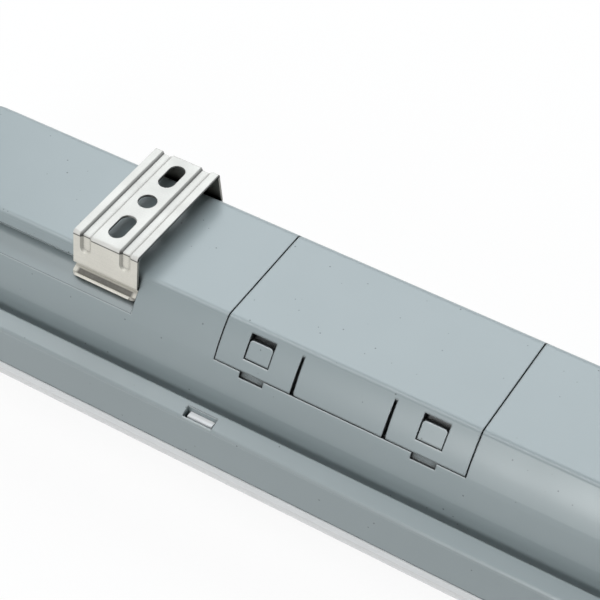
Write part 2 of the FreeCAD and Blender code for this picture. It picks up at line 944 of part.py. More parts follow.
# Screw bosses that carry the gear tray
tray_top = back - s.tray_depth
boss_top = back - s.boss_top_depth
boss_place = pocket_start - s.pocket_wall - s.boss_gap
boss_places = [(x * boss_place, y * s.boss_side) for x in (-1, 1) for y in (-1, 1)]
pad(housing, "bosses", "XY_Plane", tray_top, boss_top - tray_top,
    *[Round(middle, s.boss_radius) for middle in boss_places])
pocket(housing, "boss_holes", "XY_Plane", tray_top, s.screw_length,
       *[Round(middle, s.screw_radius + s.screw_hole_clearance) for middle in boss_places])
finish("housing", housing)

# Perimeter seal

seal = new_body("perimeter_seal")
seal_low = seal_roof_z - s.seal_height
sweep_round(seal, "seal_ring", block(seal_in + s.seal_side_clearance, seal_low,
                                     s.rim_in_half - s.seal_side_clearance, seal_roof_z))
finish("perimeter_seal", seal)

# Diffuser

diffuser = new_body("diffuser")
flange_top = skirt_z - s.band_gap
flange_low = flange_top - s.flange_thickness
band_out = skirt_foot[0] + s.band_proud
band_low = flange_top - s.band_height
tongue_in = s.rim_in_half - s.seal_channel_width / 2 - s.tongue_width / 2
tongue_out = tongue_in + s.tongue_width
lens_out = band_out - s.lens_shoulder
lens_in = lens_out - s.lens_wall
lens_low = back - s.lens_depth
lens_start_z = band_low - s.band_round / 2
lens_edge = s.top_half - s.path_corner / 4
diffuser_section = [
    (tongue_in, seal_low),
    (tongue_out, seal_low),
    (tongue_out, flange_top),
    (band_out, flange_top),
    *rounded((band_out, band_low), -right_angle, -2 * right_angle, s.band_round),
    (lens_out, lens_start_z),
    right(s.lens_radius),
    (s.top_half, lens_low),
    (lens_edge, lens_low),
    (lens_edge, lens_low + s.lens_wall),
    (s.top_half, lens_low + s.lens_wall),
    left(s.lens_radius - s.lens_wall),
    (lens_in, lens_start_z),
    (lens_in, flange_low),
    (tongue_in, flange_low),
]
sweep_round(diffuser, "lens_wall", diffuser_section)
pad(diffuser, "lens_plate", "XY_Plane", lens_low, s.lens_wall,
    rounded_block(-plate_x, -plate_y, plate_x, plate_y, s.path_corner))
hook_in = channel_in + s.hook_side_gap
barb_in = hook_in + s.hook_stem
barb_out = barb_in + s.hook_barb
hook = [
    (hook_in, flange_top - s.overlap),
    (barb_in, flange_top - s.overlap),
    (barb_in, barb_low),
    (barb_out, barb_low),
    (barb_out, hook_top - s.hook_lead),
    (barb_out - s.hook_lead, hook_top),
    (hook_in, hook_top),
]
for number, middle in enumerate(hook_places, start=1):
    pad(diffuser, "hooks_%d" % number, "YZ_Plane", middle - s.hook_width / 2, s.hook_width,
        *both_sides(hook))
finish("diffuser", diffuser)

# Access cover

cover = new_body("access_cover")
pad(cover, "cover_skin", "YZ_Plane", cover_x - s.cover_half, 2 * s.cover_half,
    skin_band(level, s.cover_thickness, s.cover_edge_angle, s.hinge_angle))
pad(cover, "cover_barrel", "YZ_Plane", cover_x - s.cover_half, 2 * s.cover_half,
    Round(hinge, s.barrel_radius))
pad(cover, "cover_pivots", "YZ_Plane", cover_x - s.cover_half - s.pivot_length,
    2 * (s.cover_half + s.pivot_length), Round(hinge, s.pivot_radius))
window_cut = [
    on_slope(s.window_top_angle, -s.overrun, -1),
    on_slope(s.window_top_angle, seat_depth, -1),
    on_slope(s.window_low_angle, seat_depth, -1),
    on_slope(s.window_low_angle, -s.overrun, -1),
]
bevel_cut = [
    on_slope(s.window_low_angle, s.bevel_edge_depth, -1),
    on_slope(s.bevel_end_angle, s.cover_thickness, -1),
    on_slope(s.bevel_end_angle, seat_depth, -1),
    on_slope(s.window_low_angle, seat_depth, -1),
    on_slope(s.window_top_angle, seat_depth, -1),
    on_slope(s.window_top_angle, s.bevel_edge_depth, -1),
]
slit_top = on_slope(s.slit_top_angle, level, -1)[0]
slit_low = on_slope(s.cover_edge_angle, level, -1)[0]
slits = []
for name, side in (("left", -1), ("right", 1)):
    middle = cover_x + side * s.window_place
    pocket(cover, "window_" + name, "YZ_Plane", middle - s.window_width / 2, s.window_width,
           window_cut)
    pocket(cover, "bevel_" + name, "YZ_Plane", middle - s.window_width / 2, s.window_width,
           bevel_cut)
    slit_x = cover_x + side * s.slit_place
    slit_mouth = s.slit_low_half_width + s.slit_round
    slits.append([
        (slit_x - slit_mouth, slit_low - s.overrun),
        (slit_x + slit_mouth, slit_low - s.overrun),
        (slit_x + slit_mouth, slit_low), right(s.slit_round),
        (slit_x + s.slit_low_half_width, slit_low + s.slit_round),
        (slit_x + s.slit_top_half_width, slit_top),
        (slit_x - s.slit_top_half_width, slit_top),
        (slit_x - s.slit_low_half_width, slit_low + s.slit_round), right(s.slit_round),
        (slit_x - slit_mouth, slit_low),
    ])
pocket(cover, "slits", "XY_Plane", back - s.skirt_depth, s.skirt_depth + s.overrun, *slits)
finish("access_cover", cover)

# Seal under the access cover

cover_seal = new_body("cover_seal")
pad(cover_seal, "cover_seal_ring", "XY_Plane", seal_foot,
    s.cover_seal_groove + s.cover_gap - s.cover_seal_gap, *seal_ring(s.seal_side_clearance))
finish("cover_seal", cover_seal)

# Mounting clips

half_sheet = s.clip_sheet / 2
leg_turn = s.leg_lean_angle - right_angle
throat_turn = -right_angle - s.throat_angle
lip_turn = s.lip_angle - right_angle
rim_turn = s.lip_rim_angle + level


def onward(point, angle, length):
    return (point[0] + length * cosine(angle), point[1] + length * sine(angle))


# Sets a bend of the outer face in by a depth, square to both runs beside it
def set_in(point, before, after, depth):
    middle = (before + after) / 2
    reach = depth / cosine((after - before) / 2)
    return (point[0] + reach * sine(middle), point[1] - reach * cosine(middle))


def with_mirror(half):
    mirrored = [item if isinstance(item, Bend) else (-item[0], item[1])
                for item in reversed(half)]
    return half + mirrored


# A bend of the sheet: its outer face on the way down, and its inner face on the way back
def bent(corner, before, after, inner_radius):
    outer_radius = inner_radius + s.clip_sheet
    if after.value > before.value:
        inner_radius, outer_radius = outer_radius, inner_radius
    inner_corner = set_in(corner, before, after, s.clip_sheet)
    return (rounded(corner, before, after, outer_radius),
            rounded(inner_corner, after + 2 * right_angle, before + 2 * right_angle,
                    inner_radius))


shoulder = (s.clip_half, level)
knee = onward(shoulder, leg_turn, s.leg_length)
throat = onward(knee, throat_turn, s.throat_length)
lip = onward(throat, lip_turn, s.lip_length)
rim = onward(lip, rim_turn, s.lip_rim_length)
bends = [
    bent(shoulder, level, leg_turn, s.clip_bend - s.clip_sheet),
    bent(knee, leg_turn, throat_turn, s.hook_bend),
    bent(throat, throat_turn, lip_turn, s.hook_bend),
    bent(lip, lip_turn, rim_turn, s.hook_bend),
]
clip_outline = []
for outer, inner in bends:
    clip_outline += outer
clip_outline += [rim, set_in(rim, rim_turn, rim_turn, s.clip_sheet)]
for outer, inner in reversed(bends):
    clip_outline += inner
clip_outline = with_mirror(clip_outline)
bead_low = s.bead_width / 2
bead_high = bead_low + s.bead_side
bead_groove = [
    (s.bead_place - bead_high, s.overlap), (s.bead_place + bead_high, s.overlap),
    (s.bead_place + bead_high, level), (s.bead_place + bead_low, -s.bead_depth),
    (s.bead_place - bead_low, -s.bead_depth), (s.bead_place - bead_high, level),
]
bead_rib = [
    (s.bead_place - bead_high, -half_sheet), (s.bead_place - bead_high, -s.clip_sheet),
    (s.bead_place - bead_low, -s.clip_sheet - s.bead_depth),
    (s.bead_place + bead_low, -s.clip_sheet - s.bead_depth),
    (s.bead_place + bead_high, -s.clip_sheet), (s.bead_place + bead_high, -half_sheet),
]


def bead_line(bend):
    return [(level, level), *rounded(shoulder, level, leg_turn, bend),
            onward(shoulder, leg_turn, s.bead_end_drop)]


# Runs a section along a line that starts square to it
def run_along(kind, body, name, section, line, offset):
    path = new_sketch(body, name + "_line", "YZ_Plane", offset)
    draw(path, line, closed=False)
    profile = new_sketch(body, name + "_section", "XZ_Plane")
    draw(profile, section)
    pipe = body.newObject("PartDesign::" + kind, name)
    pipe.Profile = profile
    pipe.Spine = (path, [])
    pipe.Refine = False
    if kind.startswith("Subtractive"):
        cuts.append(pipe)
    body.Tip = pipe
    return pipe


# Rounds the end of a bead on the leg, by turning half its section about a line
# square to the leg. The section is given as reach down the leg and depth in it.
def bead_end(kind, body, name, section):
    sketch = new_sketch(body, name + "_section", "YZ_Plane", s.bead_place)
    foot = onward(shoulder, leg_turn, s.bead_end_drop)
    points = [set_in(onward(foot, leg_turn, reach), leg_turn, leg_turn, depth)
              for reach, depth in section]
    draw(sketch, points)
    first, last = points[0], points[-1]
    axis = sketch.addGeometry(Part.LineSegment(
        Vector(first[0].value, first[1].value, 0), Vector(last[0].value, last[1].value, 0)), True)
    pin_point(sketch, axis, 1, first)
    pin_point(sketch, axis, 2, last)
    turned = body.newObject("PartDesign::" + kind, name)
    turned.Profile = sketch
    turned.ReferenceAxis = (sketch, ["Axis0"])
    turned.Refine = False
    if kind == "Groove":
        cuts.append(turned)
    body.Tip = turned
    return turned


def make_clip(name, centre_x):
    clip = new_body(name)
    pad(clip, name + "_sheet", "YZ_Plane", -s.clip_width / 2, s.clip_width, clip_outline)
    edge = s.clip_width / 2
    lip_low = lip[1] - s.clip_sheet - s.overrun
    deepest = s.clip_sheet + s.bead_depth
    quarter = [
        run_along("AdditivePipe", clip, name + "_rib", bead_rib,
                  bead_line(s.rib_bend), s.bead_place),
        bead_end("Revolution", clip, name + "_rib_end", [
            (level, half_sheet), (bead_high, half_sheet), (bead_high, s.clip_sheet),
            (bead_low, deepest), (level, deepest),
        ]),
        run_along("SubtractivePipe", clip, name + "_bead", bead_groove,
                  bead_line(s.clip_bend), s.bead_place),
        bead_end("Groove", clip, name + "_bead_end", [
            (level, -s.overlap), (bead_high, -s.overlap), (bead_high, level),
            (bead_low, s.bead_depth), (level, s.bead_depth),
        ]),
        pocket(clip, name + "_lip_corner", "XY_Plane", lip_low, rim[1] - lip_low + s.overrun, [
            (edge, rim[0] - s.lip_corner), (edge + s.overrun, rim[0] - s.lip_corner),
            (edge + s.overrun, rim[0] + s.overrun), (edge - s.lip_corner, rim[0] + s.overrun),
            (edge - s.lip_corner, rim[0]), right(s.lip_corner),
        ]),
    ]
    copies = clip.newObject("PartDesign::MultiTransform", name + "_quarters")
    mirrors = []
    for label, role in (("_across", "XZ_Plane"), ("_along", "YZ_Plane")):
        mirror = doc.addObject("PartDesign::Mirrored", name + label)
        clip.addObject(mirror)
        mirror.MirrorPlane = (origin_plane(clip, role), [""])
        mirrors.append(mirror)
    copies.Originals = quarter
    copies.Transformations = mirrors
    copies.Refine = False
    clip.Tip = copies
    radius = s.clip_slot_width / 2
    straight = s.clip_slot_length / 2 - radius
    slots = []
    for side in (-1, 1):
        middle = side * s.clip_slot_place
        slots.append([
            (radius, middle - straight),
            (radius, middle + straight), left(radius),
            (level, middle + straight + radius), left(radius),
            (-radius, middle + straight),
            (-radius, middle - straight), left(radius),
            (level, middle - straight - radius), left(radius),
        ])
    pocket(clip, name + "_holes", "XY_Plane", -deepest - s.overrun, deepest + 2 * s.overrun,
           *slots, Round((level, level), s.clip_hole / 2))
    bind(clip, "Placement.Base.x", centre_x)
    return finish(name, clip)


make_clip("mounting_clip_left", -clip_place)
make_clip("mounting_clip_right", clip_place)

# Gear tray: a shallow channel of sheet steel under the bosses

tray = new_body("gear_tray")
tray_low = tray_top - s.tray_sheet
flange_high = tray_top + s.tray_flange
tray_inner = s.tray_half_width - s.tray_sheet
board_places = {"left": -1, "right": 1}
tray_half_length = s.fixture_length / 2 - s.tray_end_inset
driver_end = tray_half_length - s.driver_end_gap
driver_start = driver_end - s.driver_length
outlet_x = driver_end + s.ear_length + s.outlet_gap + s.grommet_hole + s.grommet_lip
board_outer = outlet_x - s.board_lead_run
ear_screws = [
    (driver_start - s.ear_length / 2, s.ear_screw_side),
    (driver_end + s.ear_length / 2, -s.ear_screw_side),
]
board_screws = {"left": [], "right": []}
board_middle = (s.board_inner + board_outer) / 2
for name, side in board_places.items():
    for reach, y_side in ((s.board_inner + s.board_screw_inset, 1), (board_middle, -1),
                          (board_outer - s.board_screw_inset, 1)):
        board_screws[name].append((side * reach, y_side * s.board_screw_side))
rivet_places = [(cover_x, side * (s.bracket_half_width + s.bracket_foot / 2)) for side in (-1, 1)]
lug_x = (cover_x + s.block_half_length + s.lead_run + s.lead_slope_run + s.earth_last_run
         + s.earth_barrel_length + s.earth_lug_radius)
earth_place = (lug_x, s.earth_side)
fine = s.screw_hole_clearance
pad(tray, "tray_channel", "YZ_Plane", -tray_half_length, 2 * tray_half_length, [
    (-s.tray_half_width, tray_low), (s.tray_half_width, tray_low),
    (s.tray_half_width, flange_high), (tray_inner, flange_high),
    (tray_inner, tray_top), (-tray_inner, tray_top),
    (-tray_inner, flange_high), (-s.tray_half_width, flange_high),
])
tray_holes = [Round(middle, s.screw_pass_radius) for middle in boss_places]
tray_holes += [Round(middle, s.screw_radius + fine) for middle in ear_screws + [earth_place]]
tray_holes += [Round(middle, s.rivet_radius + fine) for middle in rivet_places]
tray_holes += [Round(middle, s.board_screw_radius + fine)
               for middle in board_screws["left"] + board_screws["right"]]
tray_holes.append(Round((outlet_x, s.outlet_side), s.grommet_hole))
pocket(tray, "tray_holes", "XY_Plane", tray_low - s.overrun, s.tray_sheet + 2 * s.overrun,
       *tray_holes)
finish("gear_tray", tray)


# A pan-head screw standing on a face at z: heads point up for way 1 and down for way -1
def screw(name, middle, z, way, radius, length, head_radius, head_height):
    x, y = middle
    shank_foot = z - length if way > 0 else z
    head_foot = z if way > 0 else z - head_height
    recess_foot = z + head_height - s.recess_depth if way > 0 else z - head_height
    half = s.recess_width / 2
    reach = head_radius * s.recess_length_share / 2
    whole = fuse(name + "_whole", [
        cylinder(name + "_shank", (x, y, shank_foot), radius, length),
        cylinder(name + "_head", (x, y, head_foot), head_radius, head_height),
    ])
    cross = fuse(name + "_cross", [
        box(name + "_cross_x", (x - reach, y - half, recess_foot),
            (2 * reach, s.recess_width, s.recess_depth)),
        box(name + "_cross_y", (x - half, y - reach, recess_foot),
            (s.recess_width, 2 * reach, s.recess_depth)),
    ])
    return cut(name, whole, cross)


finish("tray_screws", group("tray_screw_group", [
    screw("tray_screw_%d" % number, middle, tray_low, -1, s.screw_radius,
          s.screw_length, s.screw_head_radius, s.screw_head_height)
    for number, middle in enumerate(boss_places)
]))

# Light-emitting boards under the tray

board_low = tray_low - s.board_thickness
board_length = board_outer - s.board_inner
package_foot = board_low - s.package_height
for name, side in board_places.items():
    board = new_body("led_board_" + name)
    start = s.board_inner if side > 0 else -board_outer
    pad(board, "board_plate_" + name, "XY_Plane", board_low, s.board_thickness,
        block(start, -s.board_half_width, start + board_length, s.board_half_width))
    pocket(board, "board_holes_" + name, "XY_Plane", board_low - s.overrun,
           s.board_thickness + 2 * s.overrun,
           *[Round(middle, s.board_screw_radius + fine) for middle in board_screws[name]])
    finish("led_board_" + name, board)
    packages = []
    for number in range(int(s.package_count.value)):
        reach = s.board_inner + board_length / s.package_count * (number + 0.5)
        packages.append(box("package_%s_%d" % (name, number),
                            (side * reach - s.package_length / 2, -s.package_width / 2,
                             package_foot),
                            (s.package_length, s.package_width, s.package_height)))
    finish("led_packages_" + name, group("packages_" + name, packages))
    finish("board_screws_" + name, group("board_screw_group_" + name, [
        screw("board_screw_%s_%d" % (name, number), middle, board_low, -1,
              s.board_screw_radius, s.board_thickness + s.tray_sheet, s.board_screw_head,
              s.board_screw_head_height)
        for number, middle in enumerate(board_screws[name])
    ]))
finish("board_link", box("board_link_box",
                         (-s.link_half_length, -s.link_side - s.link_width / 2,
                          board_low - s.link_height),
                         (2 * s.link_half_length, s.link_width, s.link_height)))
socket_x = board_outer - s.socket_length
finish("board_socket", box("board_socket_box",
                           (socket_x, s.outlet_side - s.socket_width / 2,
                            board_low - s.socket_height),
                           (s.socket_length, s.socket_width, s.socket_height)))

# Driver

driver = new_body("led_driver")
pad(driver, "driver_foot", "XY_Plane", tray_top, s.ear_thickness,
    block(driver_start - s.ear_length, -s.ear_half_width,
          driver_end + s.ear_length, s.ear_half_width))
pad(driver, "driver_case", "XY_Plane", tray_top, s.driver_height,
    rounded_block(driver_start, -s.driver_half_width, driver_end, s.driver_half_width,
                  s.driver_corner))
pocket(driver, "driver_holes", "XY_Plane", tray_top - s.overrun, s.ear_thickness + 2 * s.overrun,
       *[Round(middle, s.screw_radius + fine) for middle in ear_screws])
finish("led_driver", driver)
finish("driver_screws", group("driver_screw_group", [
    screw("driver_screw_%d" % number, middle, tray_top + s.ear_thickness, 1, s.screw_radius,
          s.ear_thickness + 2 * s.tray_sheet, s.screw_head_radius, s.screw_head_height)
    for number, middle in enumerate(ear_screws)
]))

# Terminal block on a hat-shaped bracket, reached through the access opening

bracket = new_body("terminal_bracket")
bracket_top = back - s.bracket_top_depth
bracket_in = s.bracket_half_width - s.bracket_sheet
foot_out = s.bracket_half_width + s.bracket_foot
foot_high = tray_top + s.bracket_sheet
block_screws = [(cover_x + s.block_screw_place, side * s.block_screw_side) for side in (-1, 1)]
pad(bracket, "bracket_hat", "YZ_Plane", cover_x - s.bracket_half_length,
    2 * s.bracket_half_length, [
        (-foot_out, tray_top), (-bracket_in, tray_top),
        (-bracket_in, bracket_top - s.bracket_sheet), (bracket_in, bracket_top - s.bracket_sheet),
        (bracket_in, tray_top), (foot_out, tray_top), (foot_out, foot_high),
        (s.bracket_half_width, foot_high), (s.bracket_half_width, bracket_top),
        (-s.bracket_half_width, bracket_top), (-s.bracket_half_width, foot_high),
        (-foot_out, foot_high),
    ])
pocket(bracket, "bracket_holes", "XY_Plane", tray_top - s.overrun,
       bracket_top - tray_top + 2 * s.overrun,
       *[Round(middle, s.rivet_radius + fine) for middle in rivet_places],
       *[Round(middle, s.block_screw_radius + fine) for middle in block_screws])
finish("terminal_bracket", bracket)
rivets = []
for number, (x, y) in enumerate(rivet_places):
    grip = s.bracket_sheet + s.tray_sheet
    rivets.append(fuse("rivet_%d" % number, [
        cylinder("rivet_shank_%d" % number, (x, y, tray_low), s.rivet_radius, grip),
        cylinder("rivet_head_%d" % number, (x, y, foot_high), s.rivet_head_radius,
                 s.rivet_head_height),
        cylinder("rivet_tail_%d" % number, (x, y, tray_low - s.rivet_head_height),
                 s.rivet_head_radius, s.rivet_head_height),
    ]))
finish("bracket_rivets", group("rivet_group", rivets))

terminal = new_body("terminal_block")
block_top = bracket_top + s.block_height
button_x = cover_x - s.button_place
poles = {"line": -s.pole_pitch, "neutral": level, "earth": s.pole_pitch}
well_half_x = s.button_length / 2 + s.button_clearance
well_half_y = s.button_width / 2 + s.button_clearance
contact_half = s.contact_width / 2
pad(terminal, "block_body", "XY_Plane", bracket_top, s.block_height,
    rounded_block(cover_x - s.block_half_length, -s.block_half_width,
                  cover_x + s.block_half_length, s.block_half_width, s.block_corner))
pocket(terminal, "button_wells", "XY_Plane", block_top - s.button_depth,
       s.button_depth + s.overrun,
       *[block(button_x - well_half_x, y - well_half_y, button_x + well_half_x, y + well_half_y)
         for y in poles.values()])
pocket(terminal, "wire_ports", "YZ_Plane", cover_x - s.block_half_length - s.overrun,
       s.port_depth + s.overrun,
       *[Round((y, bracket_top + s.port_height), s.port_radius) for y in poles.values()])
pocket(terminal, "contact_slots", "XY_Plane", bracket_top - s.overrun,
       s.overrun + s.contact_lift + s.contact_height,
       *[block(button_x - s.contact_length / 2, y - contact_half,
               button_x + s.contact_length / 2, y + contact_half) for y in poles.values()])
pocket(terminal, "block_screw_wells", "XY_Plane", bracket_top + s.block_screw_seat,
       s.block_height, *[Round(middle, s.block_screw_head + s.button_clearance)
                         for middle in block_screws])
pocket(terminal, "block_screw_holes", "XY_Plane", bracket_top - s.overrun,
       s.block_screw_seat + 2 * s.overrun,
       *[Round(middle, s.block_screw_radius + fine) for middle in block_screws])
finish("terminal_block", terminal)
finish("terminal_screws", group("terminal_screw_group", [
    screw("terminal_screw_%d" % number, middle, bracket_top + s.block_screw_seat, 1,
          s.block_screw_radius, s.block_screw_seat + s.bracket_sheet + s.block_screw_tail,
          s.block_screw_head, s.block_screw_head_height)
    for number, middle in enumerate(block_screws)
]))
finish("terminal_contacts", group("contact_group", [
    box("contact_" + pole, (button_x - s.contact_length / 2, y - contact_half,
                            bracket_top + s.contact_lift),
        (s.contact_length, s.contact_width, s.contact_height))
    for pole, y in poles.items()
]))
button_inside = s.button_depth - s.button_travel - s.button_end_gap
for pole, y in poles.items():
    finish("release_button_" + pole, box(
        "button_" + pole,
        (button_x - s.button_length / 2, y - s.button_width / 2, block_top - button_inside),
        (s.button_length, s.button_width, button_inside + s.button_proud)))


# A lead runs straight between round bends, and ends square on what it joins.
# Each bend takes up a share of the shorter run beside it.
def lead(name, route, radius, reach_share):
    points = [Vector(*[as_size(place).value for place in point]) for point in route]
    edges = []
    bends = []
    start = points[0]
    for before, corner, after in zip(points, points[1:], points[2:]):
        incoming = corner - before
        outgoing = after - corner
        reach = reach_share.value * min(incoming.Length, outgoing.Length)
        incoming.normalize()
        outgoing.normalize()
        half_turn = incoming.getAngle(outgoing) / 2
        bend = reach / math.tan(half_turn)
        inward = (outgoing - incoming).normalize()
        middle = corner + inward * (bend / math.cos(half_turn) - bend)
        first = corner - incoming * reach
        last = corner + outgoing * reach
        edges.append(Part.LineSegment(start, first).toShape())
        edges.append(Part.Arc(first, middle, last).toShape())
        bends.append(round(bend, 1))
        start = last
    edges.append(Part.LineSegment(start, points[-1]).toShape())
    path = Part.Wire(edges)
    ring = Part.Wire([Part.makeCircle(radius.value, points[0], points[1] - points[0])])
    thing = doc.addObject("Part::Feature", name)
    thing.Shape = path.makePipeShell([ring], True, True)
    print(name, "length", round(path.Length, 1), "bend radii", bends)
    return finish(name, thing)


lead_x = cover_x + s.block_half_length
lead_z = bracket_top + s.port_height
lead_lie = tray_top + s.lead_radius
inlet_z = tray_top + s.driver_port_height
for pole in ("line", "neutral"):
    y = poles[pole]
    lead(pole + "_lead", [
        (lead_x, y, lead_z),
        (lead_x + s.lead_run, y, lead_z),
        (lead_x + s.lead_run + s.lead_slope_run, y, lead_lie),
        (driver_start - s.lead_run - s.lead_rise_run, y, lead_lie),
        (driver_start - s.lead_run, y, inlet_z),
        (driver_start, y, inlet_z),
    ], s.lead_radius, s.lead_reach_share)
earth_x = lug_x - s.earth_lug_radius - s.earth_barrel_length
lead("earth_lead", [
    (lead_x, poles["earth"], lead_z),
    (lead_x + s.lead_run, poles["earth"], lead_z),
    (earth_x - s.earth_last_run - s.earth_step, s.earth_mid_side, lead_lie),
    (earth_x - s.earth_last_run, s.earth_side, lead_lie),
    (earth_x, s.earth_side, lead_lie),
], s.lead_radius, s.lead_reach_share)
earth_foot = s.earth_side - s.earth_barrel_width / 2
lug = fuse("lug_whole", [
    cylinder("lug_ring", (lug_x, s.earth_side, tray_top), s.earth_lug_radius,
             s.earth_lug_thickness),
    box("lug_tongue", (earth_x, earth_foot, tray_top),
        (s.earth_barrel_length + s.earth_lug_radius, s.earth_barrel_width,
         s.earth_lug_thickness)),
    box("lug_barrel", (earth_x, earth_foot, tray_top),
        (s.earth_barrel_length, s.earth_barrel_width, s.earth_barrel_width)),
])
finish("earth_lug", cut("earth_lug_ring", lug, cylinder(
    "lug_hole", (lug_x, s.earth_side, tray_top - s.overrun), s.earth_screw_radius + fine,
    s.earth_lug_thickness + 2 * s.overrun)))
finish("earth_screw", screw(
    "earth_screw_body", earth_place, tray_top + s.earth_lug_thickness, 1,
    s.earth_screw_radius, s.earth_lug_thickness + 2 * s.tray_sheet,
    s.earth_lug_radius * s.recess_length_share, s.screw_head_height))
thin_low = board_low - s.socket_height / 2
for pole, side in (("positive", -1), ("negative", 1)):
    y = s.outlet_side + side * s.thin_lead_side
    lead("board_lead_" + pole, [
        (driver_end, y, inlet_z),
        (outlet_x, y, inlet_z),
        (outlet_x, y, thin_low),
        (board_outer, y, thin_low),
    ], s.thin_lead_radius, s.thin_lead_reach_share)
grommet_foot = tray_low - s.grommet_lip_height
grommet_outer = fuse("grommet_outer", [
    cylinder("grommet_neck", (outlet_x, s.outlet_side, grommet_foot), s.grommet_hole - fine,
             s.tray_sheet + 2 * s.grommet_lip_height),
    cylinder("grommet_lip_low", (outlet_x, s.outlet_side, grommet_foot),
             s.grommet_hole + s.grommet_lip, s.grommet_lip_height),
    cylinder("grommet_lip_high", (outlet_x, s.outlet_side, tray_top),
             s.grommet_hole + s.grommet_lip, s.grommet_lip_height),
])
finish("lead_grommet", cut("grommet_ring", grommet_outer, cylinder(
    "grommet_bore", (outlet_x, s.outlet_side, grommet_foot - s.overrun), s.grommet_bore,
    s.tray_sheet + 2 * s.grommet_lip_height + 2 * s.overrun)))

# Cable gland at the left end and a blanking plug at the right end

thread_radius = s.entry_hole / 2 - s.thread_clearance


# Places measured outward from an entry face: side -1 is the left end, 1 the right
def outward_x(side, start, length):
    return entry_face + start if side > 0 else -(entry_face + start + length)


def entry_cylinder(name, side, start, length, radius):
    return cylinder(name, (outward_x(side, start, length), level, entry_z), radius, length, "x")


def entry_hexagon(name, side, start, length):
    return hexagon(name, (outward_x(side, start, length), level, entry_z), s.gland_across, length)


for name, side in (("gland_washer", -1), ("plug_washer", 1)):
    finish(name, cut(name + "_ring",
                     entry_cylinder(name + "_disc", side, level, s.gland_washer,
                                    s.gland_washer_half),
                     entry_cylinder(name + "_hole", side, -s.overrun,
                                    s.gland_washer + 2 * s.overrun, thread_radius + fine)))
inside = s.entry_wall + s.lock_nut_thickness + s.thread_tail
neck_start = s.gland_washer + s.gland_flange
neck_end = neck_start + s.gland_neck_length
insert_start = neck_end + s.gland_nut_cap / 2 - s.seal_insert_length
nut_end = neck_end + s.gland_nut_cap / 2 + s.gland_nut_cap
gland_solid = fuse("gland_solid", [
    entry_cylinder("gland_thread", -1, -inside, inside + s.gland_washer, thread_radius),
    entry_hexagon("gland_hexagon", -1, s.gland_washer, s.gland_flange),
    entry_cylinder("gland_neck", -1, neck_start, s.gland_neck_length, s.gland_neck_radius),
])
gland_bores = fuse("gland_bores", [
    entry_cylinder("gland_bore", -1, -inside - s.overrun, inside + neck_end + 2 * s.overrun,
                   s.gland_bore / 2),
    entry_cylinder("gland_insert_bore", -1, insert_start, s.seal_insert_length + s.overrun,
                   s.seal_outer_radius),
])
finish("gland_body", cut("gland_bored", gland_solid, gland_bores))
finish("gland_insert", cut("gland_insert_ring",
                           entry_cylinder("insert_disc", -1, insert_start,
                                          s.seal_insert_length, s.seal_outer_radius - fine),
                           entry_cylinder("insert_hole", -1, insert_start - s.overrun,
                                          s.seal_insert_length + 2 * s.overrun,
                                          s.seal_bore / 2)))
nut_start = neck_start + s.gland_nut_gap
nut_length = nut_end - nut_start
nut_bores = fuse("gland_nut_bores", [
    entry_cylinder("gland_nut_well", -1, nut_start - s.overrun,
                   nut_length - s.gland_nut_cap + s.overrun, s.gland_neck_radius + fine),
    entry_cylinder("gland_nut_hole", -1, nut_start, nut_length + s.overrun,
                   s.gland_nut_bore / 2),
])
finish("gland_nut", cut("gland_nut_bored",
                        entry_hexagon("gland_nut_hexagon", -1, nut_start, nut_length),
                        nut_bores))
lock_start = -s.entry_wall - s.lock_nut_thickness
finish("gland_lock_nut", cut("lock_nut_bored",
                             entry_hexagon("lock_nut_hexagon", -1, lock_start,
                                           s.lock_nut_thickness),
                             entry_cylinder("lock_nut_hole", -1, lock_start - s.overrun,
                                            s.lock_nut_thickness + 2 * s.overrun,
                                            thread_radius + fine)))
plug_inside = s.entry_wall + s.plug_tail
plug_solid = fuse("plug_solid", [
    entry_cylinder("plug_thread", 1, -plug_inside, plug_inside + s.gland_washer, thread_radius),
    entry_cylinder("plug_cap", 1, s.gland_washer, s.plug_cap_length, s.plug_cap_radius),
])
slot_start = s.gland_washer + s.plug_cap_length - s.plug_slot_depth
finish("blanking_plug", cut("plug_slotted", plug_solid, box(
    "plug_slot",
    (outward_x(1, slot_start, level), -s.plug_cap_radius, entry_z - s.plug_slot_width / 2),
    (s.plug_slot_depth + s.overrun, 2 * s.plug_cap_radius, s.plug_slot_width))))

# Check and write

doc.recompute()
os.makedirs("parts", exist_ok=True)
for thing in doc.Objects:
    if "Invalid" in thing.State or "Error" in thing.State:
        raise RuntimeError("%s did not build" % thing.Name)
for feature in cuts:
    before = feature.BaseFeature.Shape.Volume
    if not feature.Shape.Volume < before:
        raise RuntimeError("%s cuts nothing" % feature.Name)
for name, thing in nodes:
    shape = thing.Shape
    if shape.isNull() or not shape.isValid() or not shape.Solids:
        raise RuntimeError("%s has no valid shape" % name)
    shape.exportStep("parts/%s.step" % name)
    print(name, len(shape.Solids), round(shape.Volume, 1))
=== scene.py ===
import json
import math

import bpy
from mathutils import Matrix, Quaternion, Vector


